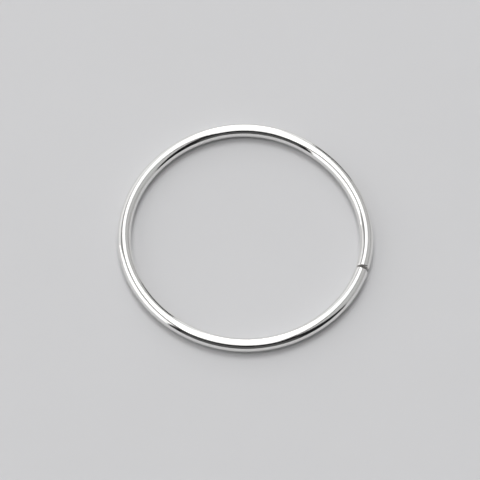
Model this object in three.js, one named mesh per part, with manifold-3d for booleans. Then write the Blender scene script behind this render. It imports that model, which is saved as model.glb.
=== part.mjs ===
// A plain nose hoop: one length of round silver wire bent into a ring, lying on its side.
// +Z is the ring's axis, z = 0 is the surface it lies on, and +X runs through the butt joint.
// The two ends of the wire are flat, with rounded rims, and the gap between them opens outwards.
import * as THREE from "three";
import { mergeVertices } from "three/addons/utils/BufferGeometryUtils.js";
import Module from "manifold-3d";

// Driving dimensions, in millimetres.
const wireDiameter = 0.6;
const insideDiameter = 10.0;
const gapInside = 0.05; // between the ends, on the inside of the ring
const gapOutside = 0.16; // between the ends, on the outside of the ring
const rimRadius = 0.06; // rounding of the rim of each end face

// How far the centreline stands off a true circle: waves round the ring, and where each crests.
const waves = [
  { lobes: 3, height: 0.019, crest: THREE.MathUtils.degToRad(-9) },
  { lobes: 4, height: 0.021, crest: THREE.MathUtils.degToRad(15) },
];

// Fineness of the facets.
const sectionSides = 16;
const ringSteps = 144;
const rimSteps = 4;
const cutterSides = 32;
const sameVertex = 1e-5; // vertices nearer than this are merged

const wireRadius = wireDiameter / 2;
const lineRadius = (insideDiameter + wireDiameter) / 2;
// The section's flats touch the round wire, so its corners stand a little outside it.
const cornerRadius = wireRadius / Math.cos(Math.PI / sectionSides);
// Each end face leans away from the plane of the joint, which makes the gap a wedge.
const lean = Math.atan((gapOutside - gapInside) / 2 / wireDiameter);
const halfGap = (gapInside + gapOutside) / 4; // from that plane to a face, on the centreline

const silver = new THREE.MeshStandardMaterial({
  name: "polished_silver",
  color: 0xe4e4e2,
  roughness: 0.12,
  metalness: 1.0,
});

const wasm = await Module();
wasm.setup();

// The centreline, from just past the joint all the way round to just short of it.
class CentreLine extends THREE.Curve {
  getPoint(t, target = new THREE.Vector3()) {
    const slit = gapInside / 4 / lineRadius;
    const angle = THREE.MathUtils.lerp(slit, 2 * Math.PI - slit, t);
    let radius = lineRadius;
    for (const { lobes, height, crest } of waves) {
      radius += height * Math.cos(lobes * (angle - crest));
    }
    return target.set(radius * Math.cos(angle), radius * Math.sin(angle), wireRadius);
  }
}

const centreLine = new CentreLine();
const jointX = centreLine.getPoint(0).x; // where the centreline crosses the joint

// The bent wire, its ends not yet finished. A flat of its section faces down, so that it lies flat.
function bentWire() {
  const section = new THREE.Shape();
  for (let side = 0; side < sectionSides; side++) {
    const angle = ((side + 0.5) / sectionSides) * 2 * Math.PI;
    const corner = [cornerRadius * Math.cos(angle), cornerRadius * Math.sin(angle)];
    if (side === 0) section.moveTo(...corner);
    else section.lineTo(...corner);
  }
  section.closePath();
  return new THREE.ExtrudeGeometry(section, { steps: ringSteps, extrudePath: centreLine });
}

// The wedge between the two end faces, reaching past the wire on every side.
function gapWedge() {
  const outwards = wireDiameter;
  const inwards = -0.75 * wireDiameter; // short of where the two faces would meet
  const halfWidth = (fromLine) => halfGap + fromLine * Math.tan(lean);
  const outline = new THREE.Shape([
    new THREE.Vector2(jointX + inwards, -halfWidth(inwards)),
    new THREE.Vector2(jointX + outwards, -halfWidth(outwards)),
    new THREE.Vector2(jointX + outwards, halfWidth(outwards)),
    new THREE.Vector2(jointX + inwards, halfWidth(inwards)),
  ]);
  const depth = 2 * wireDiameter;
  return new THREE.ExtrudeGeometry(outline, { depth, bevelEnabled: false })
    .translate(0, 0, wireRadius - depth / 2);
}

// A ring that rounds the rim of one end face: side is 1 for the end at +Y and -1 for the other.
function rimCutter(side) {
  const clear = rimRadius / 2;
  const inner = cornerRadius - rimRadius;
  const profile = [new THREE.Vector2(inner, -clear)];
  for (let step = 0; step <= rimSteps; step++) {
    const turn = (step / rimSteps) * (Math.PI / 2);
    profile.push(
      new THREE.Vector2(inner + rimRadius * Math.sin(turn), rimRadius * (1 - Math.cos(turn))),
    );
  }
  profile.push(new THREE.Vector2(cornerRadius + clear, rimRadius));
  profile.push(new THREE.Vector2(cornerRadius + clear, -clear));
  profile.push(profile[0].clone());
  const cutter = new THREE.LatheGeometry(profile.reverse(), cutterSides);
  // The lathe's own axis is +Y, which is the direction from the face into the wire.
  if (side < 0) cutter.rotateZ(Math.PI);
  cutter.rotateZ(side * lean);
  return cutter.translate(jointX, side * halfGap, wireRadius);
}

// A closed three.js geometry as a solid.
function solidOf(geometry) {
  const bare = geometry.clone();
  bare.deleteAttribute("normal");
  bare.deleteAttribute("uv");
  const merged = mergeVertices(bare, sameVertex);
  return new wasm.Manifold(
    new wasm.Mesh({
      numProp: 3,
      vertProperties: merged.attributes.position.array,
      triVerts: new Uint32Array(merged.index.array),
    }),
  );
}

// A solid as a three.js geometry.
function geometryOf(solid) {
  const { vertProperties, triVerts } = solid.getMesh();
  const geometry = new THREE.BufferGeometry();
  geometry.setAttribute("position", new THREE.BufferAttribute(vertProperties, 3));
  geometry.setIndex(new THREE.BufferAttribute(triVerts, 1));
  geometry.computeVertexNormals();
  return geometry;
}

function hoopWire() {
  const finished = solidOf(bentWire())
    .subtract(solidOf(gapWedge()))
    .subtract(solidOf(rimCutter(1)))
    .subtract(solidOf(rimCutter(-1)));
  const wire = new THREE.Mesh(geometryOf(finished), silver);
  wire.name = "hoop_wire";
  return wire;
}

const noseRing = new THREE.Group();
noseRing.add(hoopWire());

export default noseRing;
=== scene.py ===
"""A plain nose hoop of polished silver wire, lying on its side on a pale studio floor."""
import math

import bpy
from mathutils import Matrix, Vector


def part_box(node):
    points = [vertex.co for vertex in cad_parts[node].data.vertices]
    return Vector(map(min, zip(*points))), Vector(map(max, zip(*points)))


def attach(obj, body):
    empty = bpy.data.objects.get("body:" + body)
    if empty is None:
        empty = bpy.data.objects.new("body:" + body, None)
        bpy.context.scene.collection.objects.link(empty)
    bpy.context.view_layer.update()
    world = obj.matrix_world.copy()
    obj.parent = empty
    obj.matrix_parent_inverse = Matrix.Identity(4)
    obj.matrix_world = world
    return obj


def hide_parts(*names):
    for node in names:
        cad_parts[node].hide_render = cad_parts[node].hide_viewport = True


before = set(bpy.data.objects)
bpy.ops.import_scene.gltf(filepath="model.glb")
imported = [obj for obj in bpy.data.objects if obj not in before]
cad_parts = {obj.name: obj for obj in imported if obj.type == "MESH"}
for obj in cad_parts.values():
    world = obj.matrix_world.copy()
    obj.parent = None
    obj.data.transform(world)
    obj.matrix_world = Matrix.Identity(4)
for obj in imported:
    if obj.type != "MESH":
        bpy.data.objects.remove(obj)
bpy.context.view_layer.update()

MM = 0.001

# The hoop, with the same sizes as its solid.
WIRE_LOW, WIRE_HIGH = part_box("hoop_wire")
WIRE_DIAMETER = WIRE_HIGH[2] - WIRE_LOW[2]
INSIDE_DIAMETER = 10.0 * MM
GAP_INSIDE = 0.05 * MM  # between the two ends, on the inside of the ring
GAP_OUTSIDE = 0.16 * MM  # between the two ends, on the outside of the ring
RIM_RADIUS = 0.06 * MM  # rounding of the rim of each end face
WAVES = (  # how the centreline stands off a true circle: lobes, height, and where one crests
    (3, 0.019 * MM, math.radians(-9)),
    (4, 0.021 * MM, math.radians(15)),
)
UNEVENNESS = 0.0016 * MM  # how far polishing has eaten into the wire in its shallow places

# The mesh of the wire: rows of vertices along it, and sides round it.
FACE_ROWS = 6  # from the middle of an end face out to its rim
RIM_ROWS = 8  # over the rounded rim
ROWS = 720
SIDES = 80

# The view: where the camera stands round the ring, and how the picture is framed.
VIEW_AZIMUTH = math.radians(15)
VIEW_ELEVATION = math.radians(62.4)
VIEW_ROLL = math.radians(2.5)
VIEW_DISTANCE = 117 * MM
VIEW_LENS = 200  # mm, on a sensor 36 mm wide
VIEW_AIM = (-0.235 * MM, -0.18 * MM)  # how far right of and above the ring's centre it aims

SILVER_TONE = (0.91, 0.905, 0.89, 1)
FLOOR_TONE = (0.68, 0.68, 0.69, 1)
SKY_TONE = (0.014, 0.014, 0.015, 1)


# ---- A little arithmetic for node trees -------------------------------------------------------

class Field:
    """A value in a node tree that adds and multiplies the way a number does."""

    def __init__(self, tree, socket):
        self.tree = tree
        self.socket = socket

    def calculate(self, operation, *values, clamp=False):
        node = self.tree.nodes.new("ShaderNodeMath")
        node.operation = operation
        node.use_clamp = clamp
        for slot, value in zip(node.inputs, values):
            plug(self.tree, value, slot)
        return Field(self.tree, node.outputs[0])

    def __add__(self, other):
        return self.calculate("ADD", self, other)

    def __sub__(self, other):
        return self.calculate("SUBTRACT", self, other)

    def __mul__(self, other):
        return self.calculate("MULTIPLY", self, other)

    def __truediv__(self, other):
        return self.calculate("DIVIDE", self, other)

    def __rsub__(self, other):
        return self.calculate("SUBTRACT", other, self)

    __radd__ = __add__
    __rmul__ = __mul__

    def sine(self):
        return self.calculate("SINE", self)

    def cosine(self):
        return self.calculate("COSINE", self)

    def above(self, level):
        return self.calculate("GREATER_THAN", self, level)

    def least(self, other):
        return self.calculate("MINIMUM", self, other)

    def share(self, start, end):
        """0 up to start, 1 from end on, and even in between."""
        return self.calculate("DIVIDE", self - start, end - start, clamp=True)


def plug(tree, value, slot):
    """Links a field or a socket to an input, or sets the input to a plain value."""
    if isinstance(value, Field):
        tree.links.new(value.socket, slot)
    elif isinstance(value, bpy.types.NodeSocket):
        tree.links.new(value, slot)
    else:
        slot.default_value = value


def add_node(tree, kind, settings=None, **inputs):
    """Adds a node with its settings, and fills its inputs by name: an underscore stands for a space."""
    node = tree.nodes.new(kind)
    for name, value in (settings or {}).items():
        setattr(node, name, value)
    for name, value in inputs.items():
        plug(tree, value, node.inputs[name.replace("_", " ")])
    return node


# ---- Finishes ---------------------------------------------------------------------------------

def new_material(name):
    """A material with an empty node tree, its shader and its output."""
    material = bpy.data.materials.new(name)
    material.use_nodes = True
    tree = material.node_tree
    tree.nodes.clear()
    shader = add_node(tree, "ShaderNodeBsdfPrincipled")
    add_node(tree, "ShaderNodeOutputMaterial", Surface=shader.outputs["BSDF"])
    return material, tree, shader


def wire_noise(tree, along, across, **inputs):
    """Noise laid out on the wire as if it were straight: grains that long and that wide, in metres."""
    place = add_node(tree, "ShaderNodeAttribute", {"attribute_name": "straight_wire"})
    stretch = add_node(
        tree, "ShaderNodeMapping", Vector=place.outputs["Vector"],
        Scale=(1 / along, 1 / across, 1 / across),
    )
    noise = add_node(
        tree, "ShaderNodeTexNoise", Vector=stretch.outputs["Vector"], Scale=1.0, **inputs
    )
    return Field(tree, noise.outputs["Fac"])


def polished_silver():
    """Mirror-polished silver, with faint lines along the wire and saw marks on its cut ends."""
    material, tree, shader = new_material("polished_silver")
    lines = wire_noise(tree, 2.4 * MM, 0.022 * MM, Detail=4.0, Roughness=0.6)
    haze = wire_noise(tree, 1.1 * MM, 0.25 * MM, Detail=3.0)
    marks = wire_noise(tree, 0.05 * MM, 0.012 * MM, Detail=2.0)
    cut = Field(tree, add_node(
        tree, "ShaderNodeAttribute", {"attribute_name": "cut_face"}
    ).outputs["Fac"])

    tone = add_node(
        tree, "ShaderNodeMix", {"data_type": "RGBA"},
        A=SILVER_TONE, B=(0.80, 0.785, 0.76, 1),
    )
    plug(tree, haze.share(0.45, 0.8) * 0.35 + cut * 0.4, tone.inputs["Factor"])
    plug(tree, SILVER_TONE, tone.inputs["A"])
    plug(tree, tone.outputs["Result"], shader.inputs["Base Color"])

    shader.inputs["Metallic"].default_value = 1.0
    roughness = 0.055 + lines.share(0.35, 0.8) * 0.09 + haze * 0.04 + cut * 0.16
    plug(tree, roughness, shader.inputs["Roughness"])

    relief = lines * 0.6 + marks * (cut * 1.6)
    bump = add_node(tree, "ShaderNodeBump", Strength=0.35, Distance=0.0016 * MM, Height=relief)
    plug(tree, bump.outputs["Normal"], shader.inputs["Normal"])
    return material


def studio_floor():
    """A pale matt floor with the faintest mottle."""
    material, tree, shader = new_material("pale_floor")
    place = add_node(tree, "ShaderNodeTexCoord")
    noise = add_node(
        tree, "ShaderNodeTexNoise", Vector=place.outputs["Object"], Scale=160.0, Detail=3.0
    )
    tone = add_node(tree, "ShaderNodeMix", {"data_type": "RGBA"})
    plug(tree, noise.outputs["Fac"], tone.inputs["Factor"])
    for name, shade in (("A", 0.985), ("B", 1.015)):
        plug(tree, tuple(part * shade for part in FLOOR_TONE[:3]) + (1,), tone.inputs[name])
    plug(tree, tone.outputs["Result"], shader.inputs["Base Color"])
    shader.inputs["Roughness"].default_value = 0.85
    return material


# ---- The wire ---------------------------------------------------------------------------------

def add_inputs(tree, sizes):
    """Gives the tree a named input for each size, and returns them as fields."""
    for name in sizes:
        tree.interface.new_socket(name, in_out="INPUT", socket_type="NodeSocketFloat")
    group = tree.nodes.new("NodeGroupInput")
    return {name: Field(tree, group.outputs[name]) for name in sizes}


def hoop_tree(sizes, material):
    """The wire as a bent tube with two finished ends. Row by row it goes from the middle of one
    end face, over the rim, all the way round and over the other rim to the other face."""
    tree = bpy.data.node_groups.new("hoop_wire", "GeometryNodeTree")
    size = add_inputs(tree, sizes)
    grid = add_node(
        tree, "GeometryNodeMeshGrid", Size_X=1.0, Size_Y=1.0,
        Vertices_X=ROWS + 1, Vertices_Y=SIDES + 1,
    )
    chart = add_node(tree, "ShaderNodeSeparateXYZ", Vector=grid.outputs["UV Map"])
    row = Field(tree, chart.outputs["X"])
    turn = Field(tree, chart.outputs["Y"]) * math.tau

    # How far the row is from its own end of the wire, and which of the two ends that is.
    from_end = row.least(1 - row)
    end = 1 - row.above(0.5) * 2
    face_edge = FACE_ROWS / ROWS
    rim_edge = (FACE_ROWS + RIM_ROWS) / ROWS
    rim_turn = from_end.share(face_edge, rim_edge) * (math.pi / 2)

    wire_radius = size["Wire Diameter"] / 2
    line_radius = (size["Inside Diameter"] + size["Wire Diameter"]) / 2
    half_gap = (size["Gap Inside"] + size["Gap Outside"]) / 4
    rim = size["Rim Radius"]

    # The section's own radius, and how far it lies behind the end face.
    radius = (wire_radius - rim) * from_end.share(0, face_edge) + rim * rim_turn.sine()
    straight = line_radius * math.pi - half_gap - rim
    behind = rim * (1 - rim_turn.cosine()) + straight * from_end.share(rim_edge, 0.5)

    # Shallow hollows that polishing leaves, on the wire but not on its end faces.
    rough_place = add_node(
        tree, "ShaderNodeCombineXYZ", X=end * behind, Y=turn.cosine() * wire_radius,
        Z=turn.sine() * wire_radius,
    )
    hollows = add_node(
        tree, "ShaderNodeTexNoise", Vector=rough_place.outputs["Vector"], Scale=1.3 / MM, Detail=2.0
    )
    radius = radius - Field(tree, hollows.outputs["Fac"]) * size["Unevenness"] * rim_turn.sine()

    # Across the section, and up it.
    across = radius * turn.cosine()
    up = radius * turn.sine()

    # The end faces lean apart by this slope, which fades out a little way behind them.
    slope = (size["Gap Outside"] - size["Gap Inside"]) / 2 / size["Wire Diameter"]
    slope = slope - half_gap / line_radius
    slope = slope * (1 - behind.share(0, 1.5 * MM))
    arc = half_gap + behind + across * slope
    angle = end * arc / line_radius

    line = line_radius
    for lobes, height, crest in WAVES:
        line = line + ((angle - crest) * lobes).cosine() * height
    place = add_node(
        tree, "ShaderNodeCombineXYZ", X=(line + across) * angle.cosine(),
        Y=(line + across) * angle.sine(), Z=wire_radius + up,
    )

    # The same point on the wire before it was bent, for what runs along it.
    along = end * arc + (1 - end) * (line_radius * math.pi)
    straight_place = add_node(tree, "ShaderNodeCombineXYZ", X=along, Y=across, Z=up)

    shape = grid.outputs["Mesh"]
    for name, kind, domain, value in (
        ("UVMap", "FLOAT2", "CORNER", grid.outputs["UV Map"]),
        ("straight_wire", "FLOAT_VECTOR", "POINT", straight_place.outputs["Vector"]),
        ("cut_face", "FLOAT", "POINT", rim_turn.cosine()),
    ):
        store = add_node(
            tree, "GeometryNodeStoreNamedAttribute", {"data_type": kind, "domain": domain},
            Geometry=shape, Name=name, Value=value,
        )
        shape = store.outputs["Geometry"]
    bent = add_node(
        tree, "GeometryNodeSetPosition", Geometry=shape, Position=place.outputs["Vector"]
    )
    closed = add_node(
        tree, "GeometryNodeMergeByDistance", Geometry=bent.outputs["Geometry"], Distance=1e-4 * MM
    )
    smooth = add_node(tree, "GeometryNodeSetShadeSmooth", Geometry=closed.outputs["Geometry"])
    real = add_node(tree, "GeometryNodeRealizeInstances", Geometry=smooth.outputs["Geometry"])
    finished = add_node(
        tree, "GeometryNodeSetMaterial", Geometry=real.outputs["Geometry"], Material=material
    )
    tree.interface.new_socket("Geometry", in_out="OUTPUT", socket_type="NodeSocketGeometry")
    add_node(tree, "NodeGroupOutput", Geometry=finished.outputs["Geometry"])
    return tree


def grown(name, tree, sizes):
    """Runs a node tree with these sizes, and keeps the result as a plain mesh object."""
    seed = bpy.data.objects.new(name + "_seed", bpy.data.meshes.new(name + "_seed"))
    bpy.context.scene.collection.objects.link(seed)
    modifier = seed.modifiers.new("grow", "NODES")
    modifier.node_group = tree
    for item in tree.interface.items_tree:
        if item.in_out == "INPUT" and item.name in sizes:
            modifier[item.identifier] = sizes[item.name]
    graph = bpy.context.evaluated_depsgraph_get()
    mesh = bpy.data.meshes.new_from_object(seed.evaluated_get(graph), depsgraph=graph)
    mesh.name = name
    bpy.data.objects.remove(seed)
    piece = bpy.data.objects.new(name, mesh)
    bpy.context.scene.collection.objects.link(piece)
    return piece


def hoop():
    sizes = {
        "Wire Diameter": WIRE_DIAMETER,
        "Inside Diameter": INSIDE_DIAMETER,
        "Gap Inside": GAP_INSIDE,
        "Gap Outside": GAP_OUTSIDE,
        "Rim Radius": RIM_RADIUS,
        "Unevenness": UNEVENNESS,
    }
    piece = grown("silver_hoop", hoop_tree(sizes, polished_silver()), sizes)
    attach(piece, "root")
    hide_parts("hoop_wire")
    return piece


# ---- The studio -------------------------------------------------------------------------------

def in_view(right, away, up):
    """A point given as the viewer sees the floor: to the right, away from them, and up."""
    return Matrix.Rotation(VIEW_AZIMUTH, 3, "Z") @ Vector((right, away, up))


def soft_box(name, place, facing, width, height, glow, tone=(1, 1, 1)):
    """A rectangular soft light at place, facing that point. glow is how bright its face looks."""
    light = bpy.data.lights.new(name, "AREA")
    light.shape = "RECTANGLE"
    light.size = width
    light.size_y = height
    light.energy = glow * math.pi * width * height
    light.color = tone
    lamp = bpy.data.objects.new(name, light)
    bpy.context.scene.collection.objects.link(lamp)
    lamp.location = in_view(*place)
    towards = in_view(*facing) - lamp.location
    lamp.rotation_euler = towards.to_track_quat("-Z", "Y").to_euler()
    return lamp


def overhead(name, left, right, near, far, height, glow):
    """A soft box lying flat above the ring, between those edges, shining down."""
    middle = ((left + right) / 2, (near + far) / 2)
    lamp = soft_box(
        name, (*middle, height), (*middle, 0), right - left, far - near, glow
    )
    lamp.rotation_euler = (0, 0, VIEW_AZIMUTH)
    return lamp


def key_light(source, strength):
    """A distant soft light from that direction. It lays a soft shadow, and the wire doesn't mirror it."""
    light = bpy.data.lights.new("key_light", "SUN")
    light.energy = strength
    light.angle = math.radians(24)
    lamp = bpy.data.objects.new("key_light", light)
    bpy.context.scene.collection.objects.link(lamp)
    lamp.visible_glossy = False
    lamp.rotation_euler = in_view(*source).to_track_quat("Z", "Y").to_euler()
    return lamp


def lights():
    overhead("overhead_box", -0.25, 0.15, -0.26, 1.40, 0.45, 1.2)
    soft_box("back_card", (-0.62, 1.2, 0.45), (0, 0, 0.45), 2.8, 0.90, 0.85)
    # A dim panel, higher up, shows in the gap between the overhead box and the left card.
    overhead("dim_panel", -1.3, -0.25, -0.5, 1.0, 0.75, 0.26)
    # The left card stands on the floor. The right card slopes down and out from the overhead box,
    # and the wall card carries it on down to the floor.
    soft_box("left_card", (-0.61, -0.11, 0.32), (0, 0, 0.32), 0.68, 0.64, 1.2)
    soft_box("right_card", (0.41, 0.36, 0.375), (0.204, 0.36, -0.08), 1.07, 0.46, 0.5)
    soft_box("wall_card", (0.70, 0.42, 0.14), (0, 0.42, 0.14), 1.2, 0.28, 0.46)
    # Seen from behind, the top of the wire mirrors this dim card and not an unlit room.
    soft_box("front_card", (0, -1.4, 0.55), (0, 0, 0.3), 2.4, 1.0, 0.07)
    key_light((-0.06, 0.45, 0.89), 0.72)

    world = bpy.data.worlds.new("dim_room")
    world.use_nodes = True
    world.node_tree.nodes["Background"].inputs["Color"].default_value = SKY_TONE
    bpy.context.scene.world = world


def floor():
    half = 3.0
    corners = [(-half, -half, 0), (half, -half, 0), (half, half, 0), (-half, half, 0)]
    mesh = bpy.data.meshes.new("studio_floor")
    mesh.from_pydata(corners, [], [(0, 1, 2, 3)])
    mesh.materials.append(studio_floor())
    plane = bpy.data.objects.new("studio_floor", mesh)
    bpy.context.scene.collection.objects.link(plane)


def camera():
    """Stands at the view's angle, leans by its roll, and aims a little off the ring's centre."""
    back = Vector((
        math.sin(VIEW_AZIMUTH) * math.cos(VIEW_ELEVATION),
        -math.cos(VIEW_AZIMUTH) * math.cos(VIEW_ELEVATION),
        math.sin(VIEW_ELEVATION),
    ))
    level = Vector((math.cos(VIEW_AZIMUTH), math.sin(VIEW_AZIMUTH), 0))
    upright = back.cross(level)
    right = level * math.cos(VIEW_ROLL) + upright * math.sin(VIEW_ROLL)
    up = back.cross(right)
    centre = Vector((0, 0, WIRE_DIAMETER / 2))
    place = centre + back * VIEW_DISTANCE + right * VIEW_AIM[0] + up * VIEW_AIM[1]
    data = bpy.data.cameras.new("camera")
    data.lens = VIEW_LENS
    data.sensor_width = 36
    data.clip_start = 1 * MM
    data.clip_end = 20
    body = bpy.data.objects.new("camera", data)
    bpy.context.scene.collection.objects.link(body)
    turned = Matrix((right, up, back)).transposed().to_4x4()
    body.matrix_world = Matrix.Translation(place) @ turned
    bpy.context.scene.camera = body


camera()
lights()
floor()
hoop()
bpy.context.scene.view_settings.view_transform = "Standard"
